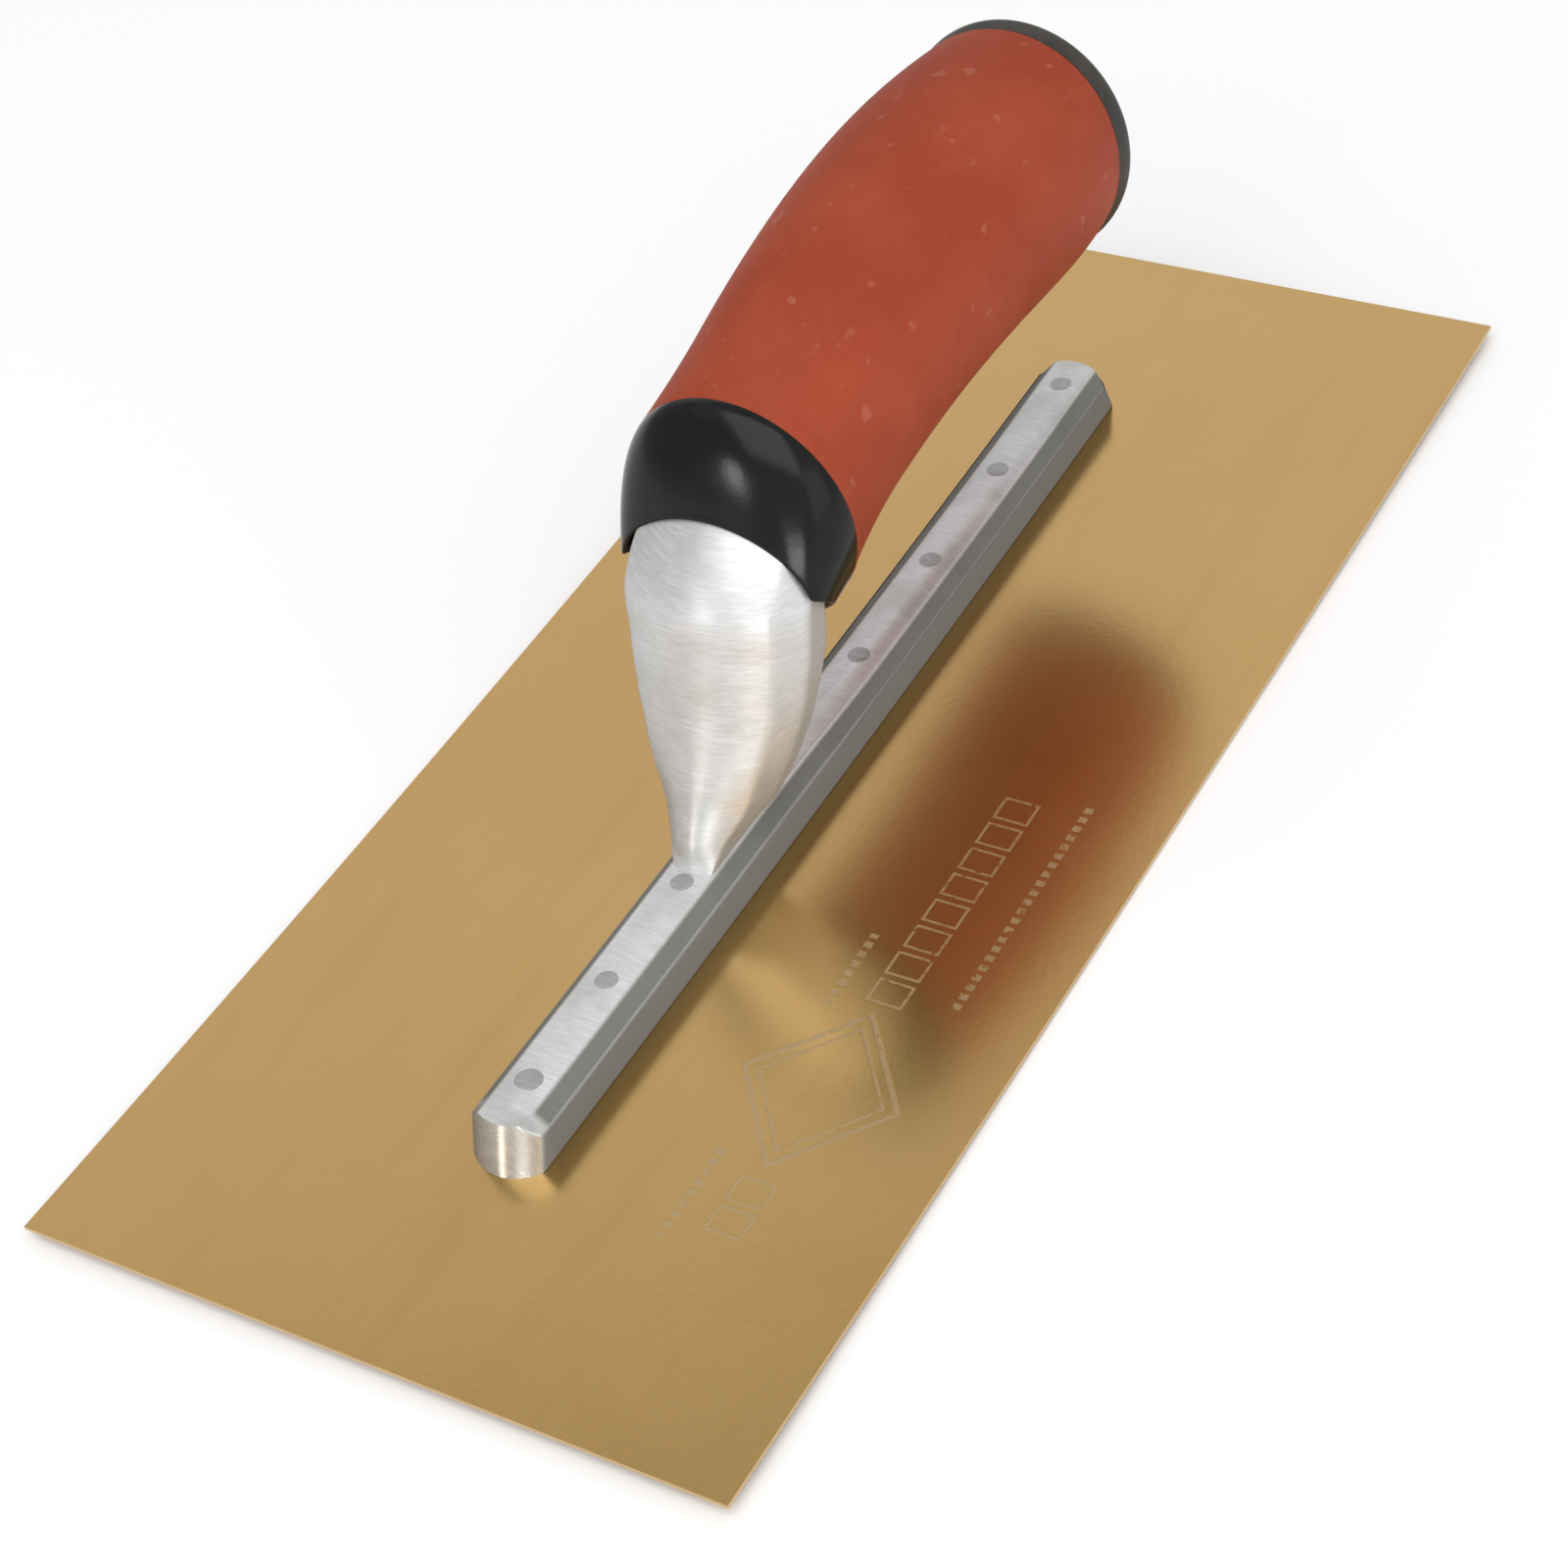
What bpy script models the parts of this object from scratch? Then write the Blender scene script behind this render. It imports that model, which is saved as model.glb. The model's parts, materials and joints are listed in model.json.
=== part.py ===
"""Finishing trowel: a bowed steel blade riveted to a cast mounting, whose shank carries a soft-grip handle.

Frame: metres, +Z up. The origin is the centre of the blade's underside, which is its lowest face.
+X points to the toe, the end that the shank leans towards, and the handle reaches back towards -X.
The tool is symmetric about the plane y = 0.
"""
import math

import bmesh
import bpy
import numpy as np
from mathutils import Matrix, Vector

MM = 0.001
FIT_GAP = 0.3 * MM          # left between pieces that touch on the real tool

# Blade: 11 by 5 inches of spring steel, bowed so that both ends lift off the floor.
BLADE_LENGTH = 279.4 * MM
BLADE_WIDTH = 127.0 * MM
BLADE_THICK = 0.7 * MM
BLADE_BOW = 2.0 * MM        # rise of each end
BLADE_FACETS = 15           # odd, so that the middle facet lies flat

# Spine of the casting: a bar with chamfered top edges and blunt rounded ends.
SPINE_TOE = 102.4 * MM
SPINE_HEEL = -101.5 * MM
SPINE_HALF_WIDTH = 6.7 * MM
SPINE_TOP_HALF_WIDTH = 3.8 * MM
SPINE_CHAMFER_Z = 6.8 * MM
SPINE_TOP_Z = 9.6 * MM      # above the bowed underside of the blade
SPINE_END_RADIUS = 8.0 * MM
SPINE_END_SLOPE = 3.0 * MM  # how far each end leans in over the spine's height

# Rivets, from the heel to the toe; the one nearest the toe has a wider end.
RIVET_X = [-91.7 * MM, -66.2 * MM, -40.4 * MM, -14.4 * MM, 44.2 * MM, 67.2 * MM, 89.7 * MM]
RIVET_SHANK_R = 1.5 * MM
RIVET_HEAD_R = 2.6 * MM     # countersunk into the blade
RIVET_TOP_R = 1.95 * MM     # set into the spine's top
RIVET_TOE_TOP_R = 2.35 * MM
RIVET_TOP_FLARE = 1.4 * MM

# Shank and spigot: sections from inside the spine up to the spigot's end. Each is (x, z) of the
# widest line, lean of the section from +X in degrees, half width, reach in front, reach behind, and
# the exponent of the back half: 2 is round, 4 is a flat back with square flanks.
SHANK_SECTIONS = [
    (34.4, 4.4, 36, 3.4, 7.0, 2.0, 2),
    (33.2, 8.2, 30, 3.8, 9.0, 4.2, 3),
    (31.6, 11.6, 26, 4.6, 9.7, 5.6, 4),
    (29.3, 16.0, 24, 7.7, 9.5, 6.2, 4),
    (26.4, 23.9, 22, 12.0, 9.3, 6.4, 4),
    (22.6, 33.4, 18, 15.1, 10.1, 7.2, 4),
    (20.0, 42.3, 16, 16.3, 10.6, 8.6, 4),
    (16.9, 51.0, 20, 16.6, 11.0, 7.2, 4),
    (9.6, 57.8, 42, 15.6, 9.6, 8.0, 3),
    (-2.0, 61.6, 72, 12.0, 9.4, 9.2, 2),
    (-14.0, 64.8, 86, 9.6, 9.0, 9.0, 2),
    (-36.0, 66.2, 90, 8.4, 8.4, 8.4, 2),
]
SHANK_ROWS_BETWEEN = 3

# Handle: its axis is a Bezier curve in the plane y = 0, and its sections are round.
HANDLE_AXIS = [(8.0, 59.3), (-39.6, 73.5), (-66.4, 66.5), (-85.3, 65.4)]
HANDLE_RADII = [19.0 * MM, 20.75 * MM, 21.85 * MM, 20.8 * MM]   # at 0, 1/3, 2/3 and 1 of the curve
HANDLE_FLARE = 1.3 * MM     # added to the radius at the collar
HANDLE_FLARE_END = 0.14
BUTT_TILT = 10.0            # degrees that the butt's face leans downwards
GRIP_WALL = 2.6 * MM

# Collar: the bare front of the handle's core, narrowing from the grip to the casting.
COLLAR_LENGTH = 10.4 * MM
COLLAR_FRONT_HALF_WIDTH = 17.9 * MM
COLLAR_FRONT_TOP_Z = 64.5 * MM
COLLAR_FRONT_DROP = 2.5 * MM
COLLAR_CORNER_Z = 52.4 * MM  # below this height the collar's edge runs back under the handle
COLLAR_EDGE_SLOPE = 52.0     # degrees

# Fastening inside the handle: a bolt from the butt into the spigot.
BOLT_Z = 66.2 * MM
BOLT_R = 2.5 * MM
BOLT_TIP_X = -17.0 * MM
BOLT_HEAD_ACROSS = 8.0 * MM
BOLT_HEAD_THICK = 3.5 * MM
WASHER_R = 6.0 * MM
WASHER_THICK = 1.2 * MM
WASHER_SEAT_X = -76.0 * MM
COUNTERBORE_R = 9.0 * MM

# Cap on the butt: (reach behind the grip's end, radius) of its outer profile.
CAP_PROFILE = [(0.0, 20.6), (2.65, 21.0), (4.5, 20.3), (5.6, 18.6), (6.4, 15.1), (7.0, 9.0), (7.2, 4.0)]
CAP_PLUG_DEPTH = 3.0 * MM

SIDES = 40
RIVET_SIDES = 20


def clear_scene():
    for obj in list(bpy.data.objects):
        bpy.data.objects.remove(obj)


def make_material(name, colour, roughness, metallic):
    material = bpy.data.materials.new(name)
    material.use_nodes = True
    shader = material.node_tree.nodes["Principled BSDF"]
    shader.inputs["Base Color"].default_value = (*colour, 1.0)
    shader.inputs["Roughness"].default_value = roughness
    shader.inputs["Metallic"].default_value = metallic
    return material


def add_object(name, bm, material=None):
    """Turn a bmesh into an object with outward faces, smooth where it is round."""
    bmesh.ops.recalc_face_normals(bm, faces=bm.faces)
    mesh = bpy.data.meshes.new(name)
    bm.to_mesh(mesh)
    bm.free()
    mesh.shade_smooth()
    mesh.set_sharp_from_angle(angle=math.radians(32))
    obj = bpy.data.objects.new(name, mesh)
    bpy.context.scene.collection.objects.link(obj)
    if material:
        mesh.materials.append(material)
    return obj


def loft(name, rings, material=None, closed=False):
    """Skin a stack of rings with equal point counts: capped at both ends, or closed into a loop."""
    bm = bmesh.new()
    rows = [[bm.verts.new(point) for point in ring] for ring in rings]
    pairs = list(zip(rows, rows[1:]))
    if closed:
        pairs.append((rows[-1], rows[0]))
    for low, high in pairs:
        for i in range(len(low)):
            j = (i + 1) % len(low)
            bm.faces.new((low[i], low[j], high[j], high[i]))
    if not closed:
        bm.faces.new(rows[0])
        bm.faces.new(rows[-1])
    return add_object(name, bm, material)


def turned(name, profile, matrix, material=None, sides=RIVET_SIDES):
    """Turn a list of (radius, height) about +Z, then place it; a first radius of 0 isn't needed."""
    rings = []
    for radius, height in profile:
        angles = [2 * math.pi * i / sides for i in range(sides)]
        rings.append([matrix @ Vector((radius * math.cos(a), radius * math.sin(a), height)) for a in angles])
    return loft(name, rings, material)


def cutter(obj):
    obj.hide_render = True
    obj.display_type = "WIRE"
    return obj


def boolean(obj, tool, operation="DIFFERENCE"):
    modifier = obj.modifiers.new(tool.name, "BOOLEAN")
    modifier.operation = operation
    modifier.solver = "EXACT"
    modifier.object = cutter(tool)


def bow(x):
    """Rise of the blade's underside at x, from 0 over its middle facet."""
    flat = BLADE_LENGTH / BLADE_FACETS / 2
    rise = BLADE_BOW * ((2 * x / BLADE_LENGTH) ** 2 - (2 * flat / BLADE_LENGTH) ** 2)
    return max(0.0, rise)


def along_x(x, z):
    """Placement of a turned piece whose axis runs along +X from x at height z."""
    return Matrix.Translation((x, 0, z)) @ Matrix.Rotation(math.radians(90), 4, "Y")


# ---------------------------------------------------------------- blade and rivets
def rivet_profile(x, top_radius, grow=0.0):
    """Flush countersunk end in the blade, straight shank, flared end in the spine's top."""
    top = SPINE_TOP_Z + bow(x)
    low = bow(x)
    if grow:
        top, low = top + 1 * MM, low - 1 * MM
    head_top = bow(x) + BLADE_THICK + FIT_GAP
    return [(RIVET_HEAD_R + grow, low), (RIVET_HEAD_R + grow, bow(x) + 0.1 * MM),
            (RIVET_SHANK_R + grow, head_top + 0.6 * MM),
            (RIVET_SHANK_R + grow, SPINE_TOP_Z + bow(x) - RIVET_TOP_FLARE),
            (top_radius + grow, SPINE_TOP_Z + bow(x) - 0.3 * MM), (top_radius + grow, top)]


def rivet_top_radius(x):
    return RIVET_TOE_TOP_R if x == RIVET_X[-1] else RIVET_TOP_R


def rivet_holes(owner):
    """One cutter per rivet, wider than the rivet by the fit gap."""
    for number, x in enumerate(RIVET_X, 1):
        profile = rivet_profile(x, rivet_top_radius(x), FIT_GAP)
        boolean(owner, turned(f"{owner.name}_hole_{number}", profile, Matrix.Translation((x, 0, 0))))


def make_blade():
    edges = [BLADE_LENGTH * (i / BLADE_FACETS - 0.5) for i in range(BLADE_FACETS + 1)]
    half = BLADE_WIDTH / 2
    rings = []
    for x in edges:
        low, high = bow(x), bow(x) + BLADE_THICK
        rings.append([(x, -half, low), (x, half, low), (x, half, high), (x, -half, high)])
    blade = loft("blade", rings, make_material("blade_steel", (0.46, 0.30, 0.13), 0.38, 0.9))
    rivet_holes(blade)


def make_rivets():
    for number, x in enumerate(RIVET_X, 1):
        material = make_material(f"rivet_{number}_steel", (0.25, 0.25, 0.24), 0.45, 0.9)
        profile = rivet_profile(x, rivet_top_radius(x))
        turned(f"rivet_{number}", profile, Matrix.Translation((x, 0, 0)), material)


# ---------------------------------------------------------------- casting
def spine_bar():
    """The spine's section, run past both ends along the bowed blade."""
    rings = []
    for x in np.linspace(SPINE_HEEL - 5 * MM, SPINE_TOE + 5 * MM, 24):
        lift = bow(x)
        low = lift + BLADE_THICK + FIT_GAP
        rings.append([(x, -SPINE_HALF_WIDTH, low), (x, SPINE_HALF_WIDTH, low),
                      (x, SPINE_HALF_WIDTH, lift + SPINE_CHAMFER_Z),
                      (x, SPINE_TOP_HALF_WIDTH, lift + SPINE_TOP_Z),
                      (x, -SPINE_TOP_HALF_WIDTH, lift + SPINE_TOP_Z),
                      (x, -SPINE_HALF_WIDTH, lift + SPINE_CHAMFER_Z)])
    return loft("mounting", rings)


def spine_ends():
    """A rounded, slightly leaning outline that trims the bar's two ends."""
    rings = []
    for z, lean in ((-SPINE_TOP_Z, -SPINE_END_SLOPE), (2 * SPINE_TOP_Z, 2 * SPINE_END_SLOPE)):
        ring = []
        for centre, turn in ((SPINE_TOE - SPINE_END_RADIUS - lean, -90), (SPINE_HEEL + SPINE_END_RADIUS + lean, 90)):
            for step in range(13):
                angle = math.radians(turn + 180 * step / 12)
                ring.append((centre + SPINE_END_RADIUS * math.cos(angle), SPINE_END_RADIUS * math.sin(angle), z))
        rings.append(ring)
    return loft("spine_outline", rings)


def shank_table():
    """The sections of SHANK_SECTIONS with smooth rows between them (Catmull-Rom)."""
    keys = np.array(SHANK_SECTIONS, float)
    ends = np.vstack([2 * keys[0] - keys[1], keys, 2 * keys[-1] - keys[-2]])
    rows = []
    for a, b, c, d in zip(ends, ends[1:], ends[2:], ends[3:]):
        for step in range(SHANK_ROWS_BETWEEN):
            t = step / SHANK_ROWS_BETWEEN
            rows.append(0.5 * (2 * b + (c - a) * t + (2 * a - 5 * b + 4 * c - d) * t ** 2
                               + (3 * b - a - 3 * c + d) * t ** 3))
    return rows + [keys[-1]]


def shank_loft(name, grow=0.0):
    """The shank and its spigot as one loft, or a cutter that is larger all round by grow."""
    rings = []
    for x, z, lean, half, front, back, power in shank_table():
        lean_x, lean_z = math.cos(math.radians(lean)), math.sin(math.radians(lean))
        ring = []
        for side in range(SIDES):
            angle = 2 * math.pi * side / SIDES
            across, reach = math.cos(angle), math.sin(angle)
            if reach >= 0:
                reach = (front * MM + grow) * reach
            else:
                across = math.copysign(abs(across) ** (2 / power), across)
                reach = -(back * MM + grow) * abs(reach) ** (2 / power if power > 2 else 1)
            ring.append((x * MM + reach * lean_x, (half * MM + grow) * across, z * MM + reach * lean_z))
        rings.append(ring)
    if grow:
        tip = np.array(rings[-1])
        rings.append(tip - np.array([grow, 0, 0]))
    return loft(name, rings)


def make_mounting():
    mounting = spine_bar()
    mounting.data.materials.append(make_material("cast_aluminium", (0.60, 0.60, 0.58), 0.35, 0.9))
    boolean(mounting, spine_ends(), "INTERSECT")
    boolean(mounting, shank_loft("shank"), "UNION")
    rivet_holes(mounting)
    hole = [(BOLT_R + FIT_GAP, 0), (BOLT_R + FIT_GAP, 30 * MM)]
    boolean(mounting, turned("bolt_hole", hole, along_x(BOLT_TIP_X - 28 * MM, BOLT_Z)))


# ---------------------------------------------------------------- handle
def handle_axis(t):
    """Point of the axis in the plane y = 0."""
    a, b, c, d = (Vector((x * MM, 0, z * MM)) for x, z in HANDLE_AXIS)
    return a * (1 - t) ** 3 + b * 3 * t * (1 - t) ** 2 + c * 3 * t ** 2 * (1 - t) + d * t ** 3


def handle_radius(t):
    """Cubic through the four radii, plus a short flare at the collar."""
    radius = 0.0
    for i, value in enumerate(HANDLE_RADII):
        weight = 1.0
        for j in range(4):
            if j != i:
                weight *= (t * 3 - j) / (i - j)
        radius += value * weight
    return radius + HANDLE_FLARE * max(0.0, 1 - t / HANDLE_FLARE_END) ** 2


def round_ring(centre, radius, tilt):
    """Ring in a plane that faces back along -X and leans down by tilt degrees."""
    up = Vector((-math.sin(math.radians(tilt)), 0, math.cos(math.radians(tilt))))
    side = Vector((0, 1, 0))
    angles = [2 * math.pi * i / SIDES for i in range(SIDES)]
    return [centre + side * radius * math.cos(a) + up * radius * math.sin(a) for a in angles]


def handle_ring(t, radius, shift=0.0):
    """Ring about the axis at t, shifted along the butt's direction."""
    tilt = BUTT_TILT * t ** 3
    back = Vector((-math.cos(math.radians(tilt)), 0, -math.sin(math.radians(tilt))))
    return round_ring(handle_axis(t) + back * shift, radius, tilt)


def collar_rings(count=9):
    """Rings from the collar's front edge back to the grip; the last one matches the grip's outside."""
    start = handle_axis(0)
    radius = handle_radius(0)
    rings = []
    for s in np.linspace(1, 0, count):
        half = COLLAR_FRONT_HALF_WIDTH + (radius - COLLAR_FRONT_HALF_WIDTH) * (1 - s ** 1.8)
        top = COLLAR_FRONT_TOP_Z + (start.z + radius - COLLAR_FRONT_TOP_Z) * (1 - s ** 1.9)
        low = start.z - radius - COLLAR_FRONT_DROP * s
        middle, height = (top + low) / 2, (top - low) / 2
        angles = [2 * math.pi * i / SIDES for i in range(SIDES)]
        x = start.x + COLLAR_LENGTH * s
        rings.append([(x, half * math.cos(a), middle + height * math.sin(a)) for a in angles])
    return rings


def lip_cutter():
    """Wedge that runs the collar's lower edge back under the handle."""
    x, z = (HANDLE_AXIS[0][0] * MM + COLLAR_LENGTH), COLLAR_CORNER_Z
    drop = 30 * MM
    run = drop / math.tan(math.radians(COLLAR_EDGE_SLOPE))
    wide = 40 * MM
    outline = [(x + 1 * MM, z + 1 * MM * math.tan(math.radians(COLLAR_EDGE_SLOPE))),
               (x - run, z - drop), (x + 20 * MM, z - drop), (x + 20 * MM, z + 20 * MM)]
    return loft("lip_wedge", [[(px, y, pz) for px, pz in outline] for y in (-wide, wide)])


def make_handle_core():
    rings = collar_rings()
    for t in np.linspace(0, 1, 14):
        rings.append(handle_ring(t, handle_radius(t) - GRIP_WALL - FIT_GAP, -FIT_GAP * t))
    core = loft("handle_core", rings, make_material("core_plastic", (0.018, 0.019, 0.018), 0.3, 0.0))
    boolean(core, lip_cutter())
    boolean(core, shank_loft("socket", FIT_GAP))
    bore = [(BOLT_R + FIT_GAP, 0), (BOLT_R + FIT_GAP, 60 * MM)]
    boolean(core, turned("bolt_bore", bore, along_x(WASHER_SEAT_X - 2 * MM, BOLT_Z)))
    recess = [(COUNTERBORE_R, 0), (COUNTERBORE_R, 25 * MM)]
    boolean(core, turned("recess", recess, along_x(WASHER_SEAT_X - 25 * MM, BOLT_Z), sides=SIDES))


def make_grip():
    stations = np.linspace(0, 1, 16)
    outer = [handle_ring(t, handle_radius(t), FIT_GAP * (1 - t)) for t in stations]
    inner = [handle_ring(t, handle_radius(t) - GRIP_WALL, FIT_GAP * (1 - t)) for t in stations[::-1]]
    material = make_material("grip_rubber", (0.36, 0.075, 0.045), 0.6, 0.0)
    loft("grip_sleeve", outer + inner, material, closed=True)


def make_butt_cap():
    rings = [handle_ring(1, radius * MM, FIT_GAP + reach * MM) for reach, radius in CAP_PROFILE]
    cap = loft("butt_cap", rings, make_material("cap_plastic", (0.10, 0.085, 0.075), 0.4, 0.0))
    plug = [(COUNTERBORE_R - FIT_GAP, 0), (COUNTERBORE_R - FIT_GAP, CAP_PLUG_DEPTH + 2 * MM)]
    start = HANDLE_AXIS[-1][0] * MM - 2 * MM
    boolean(cap, turned("plug", plug, along_x(start, BOLT_Z), sides=SIDES), "UNION")


def make_fastening():
    head_x = WASHER_SEAT_X - 2 * FIT_GAP - WASHER_THICK - BOLT_HEAD_THICK
    length = BOLT_TIP_X - head_x
    profile = [(BOLT_R, 0), (BOLT_R, length - 1 * MM), (BOLT_R - 0.8 * MM, length)]
    steel = make_material("bolt_steel", (0.42, 0.42, 0.41), 0.35, 0.9)
    bolt = turned("tie_bolt", profile, along_x(head_x, BOLT_Z), steel)
    corner = BOLT_HEAD_ACROSS / 2 / math.cos(math.radians(30))
    head = turned("hex_head", [(corner, 0), (corner, BOLT_HEAD_THICK)], along_x(head_x, BOLT_Z), sides=6)
    boolean(bolt, head, "UNION")

    washer_x = WASHER_SEAT_X - FIT_GAP - WASHER_THICK
    inner = BOLT_R + FIT_GAP
    section = [(inner, 0), (WASHER_R, 0), (WASHER_R, WASHER_THICK), (inner, WASHER_THICK)]
    place = along_x(washer_x, BOLT_Z)
    angles = [2 * math.pi * i / RIVET_SIDES for i in range(RIVET_SIDES)]
    rings = [[place @ Vector((r * math.cos(a), r * math.sin(a), h)) for r, h in section] for a in angles]
    loft("washer", rings, make_material("washer_steel", (0.42, 0.42, 0.41), 0.35, 0.9), closed=True)


clear_scene()
make_blade()
make_rivets()
make_mounting()
make_handle_core()
make_grip()
make_butt_cap()
make_fastening()
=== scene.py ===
# %% [markdown]
# # A finishing trowel
# Plasterers lay and smooth a wall with this tool. A thin golden steel blade is riveted to a cast
# spine, a shank rises from the spine in a goose neck, and a curved soft-grip handle sits on it.
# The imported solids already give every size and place. This script gives them their looks: it swaps
# the faceted pieces for fine surfaces in the same places, and builds one finish per material.

import json
import math

import bmesh
import bpy
import numpy as np
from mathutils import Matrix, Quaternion, Vector

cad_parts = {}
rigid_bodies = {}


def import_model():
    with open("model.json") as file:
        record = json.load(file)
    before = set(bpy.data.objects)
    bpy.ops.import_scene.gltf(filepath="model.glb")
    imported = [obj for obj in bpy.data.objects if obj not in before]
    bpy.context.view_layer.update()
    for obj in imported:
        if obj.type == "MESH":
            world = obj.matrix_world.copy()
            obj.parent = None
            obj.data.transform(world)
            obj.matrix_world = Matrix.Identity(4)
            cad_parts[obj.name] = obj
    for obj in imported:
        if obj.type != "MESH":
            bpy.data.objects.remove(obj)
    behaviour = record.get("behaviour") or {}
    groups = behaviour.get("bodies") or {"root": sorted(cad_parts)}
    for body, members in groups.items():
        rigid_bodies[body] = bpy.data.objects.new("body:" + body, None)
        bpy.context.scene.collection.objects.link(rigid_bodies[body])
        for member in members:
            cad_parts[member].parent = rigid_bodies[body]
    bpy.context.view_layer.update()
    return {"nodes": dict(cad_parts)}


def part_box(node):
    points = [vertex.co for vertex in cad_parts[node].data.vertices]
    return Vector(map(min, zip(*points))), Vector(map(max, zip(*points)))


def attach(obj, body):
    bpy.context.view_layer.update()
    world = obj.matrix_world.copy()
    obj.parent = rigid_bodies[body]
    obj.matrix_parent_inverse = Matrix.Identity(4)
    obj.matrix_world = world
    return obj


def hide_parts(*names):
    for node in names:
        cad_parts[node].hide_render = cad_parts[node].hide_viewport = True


for leftover in list(bpy.data.objects):
    bpy.data.objects.remove(leftover)
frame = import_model()
MM = 0.001
print("nodes in the frame:", sorted(frame["nodes"]))

# %% [markdown]
# ## Surfaces from numbers
# Every new piece is a grid of points: rows run along the piece and columns run around it. One
# formula places all of them at once, and the grid's neighbours become four-sided faces. Rows that
# shrink to a point or a line are merged, so each skin ends up closed, like the real solid.

# %% A skin over a grid of points
def skin(name, grid, loop=False, crease=35):
    """Mesh object over grid[row, column] = (x, y, z); columns close into rings.

    Face (r, c) joins the points (r, c), (r, c + 1), (r + 1, c + 1) and (r + 1, c). With loop the
    last row joins the first again. Edges that turn more than crease degrees stay sharp.
    """
    rows, columns = grid.shape[:2]
    index = np.arange(rows * columns).reshape(rows, columns)
    if loop:
        index = np.vstack([index, index[:1]])
    index = np.hstack([index, index[:, :1]])
    corners = (index[:-1, :-1], index[:-1, 1:], index[1:, 1:], index[1:, :-1])
    faces = np.stack(corners, axis=-1).reshape(-1, 4)
    mesh = bpy.data.meshes.new(name)
    mesh.from_pydata(grid.reshape(-1, 3).tolist(), [], faces.tolist())
    work = bmesh.new()
    work.from_mesh(mesh)
    bmesh.ops.remove_doubles(work, verts=work.verts, dist=1e-6)
    bmesh.ops.recalc_face_normals(work, faces=work.faces)
    open_edges = sum(not edge.is_manifold for edge in work.edges)
    work.to_mesh(mesh)
    work.free()
    mesh.shade_smooth()
    mesh.set_sharp_from_angle(angle=math.radians(crease))
    piece = bpy.data.objects.new(name, mesh)
    bpy.context.scene.collection.objects.link(piece)
    print(f"{name}: {len(mesh.polygons)} faces, {open_edges} open edges")
    return piece


def capped(grid):
    """The same grid with its first and last rows drawn in to their centres, which closes its ends."""
    first = np.broadcast_to(grid[0].mean(0), grid[0].shape)
    last = np.broadcast_to(grid[-1].mean(0), grid[-1].shape)
    return np.concatenate([first[None], grid, last[None]])


def place(piece, finish, slot, *nodes):
    """Give a piece its finish, let it ride on the tool's one body, and let it stand for CAD nodes."""
    piece.data.materials.append(finish)
    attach(piece, "root")
    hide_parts(*nodes)


# %% [markdown]
# ## Shader maths as plain expressions
# A procedural finish is arithmetic on patterns. Wiring Math nodes by hand hides that arithmetic,
# so a small class wraps one socket and turns +, -, * and / into Math nodes. Everything else, from
# noise to bump, goes through one method that takes the node's type, its settings and its inputs.

# %% Wires and finishes
class Wire:
    """One output socket; arithmetic on it adds Math nodes to its finish."""

    def __init__(self, finish, socket):
        self.finish = finish
        self.socket = socket

    def __add__(self, other):
        return self.finish.math("ADD", self, other)

    def __sub__(self, other):
        return self.finish.math("SUBTRACT", self, other)

    def __rsub__(self, other):
        return self.finish.math("SUBTRACT", other, self)

    def __mul__(self, other):
        return self.finish.math("MULTIPLY", self, other)

    def __truediv__(self, other):
        return self.finish.math("DIVIDE", self, other)

    def __abs__(self):
        return self.finish.math("ABSOLUTE", self)

    __radd__ = __add__
    __rmul__ = __mul__

    def fract(self):
        """What is left after the whole part, so a pattern repeats each time the wire grows by 1."""
        return self.finish.math("FRACT", self)

    def at_most(self, other):
        return self.finish.math("MINIMUM", self, other)

    def smooth(self, low, high):
        """0 at low, 1 at high, and an S-shaped rise between them."""
        limits = {"Value": self, "From Min": low, "From Max": high}
        return self.finish.node("MapRange", {"interpolation_type": "SMOOTHSTEP"}, limits)


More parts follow.
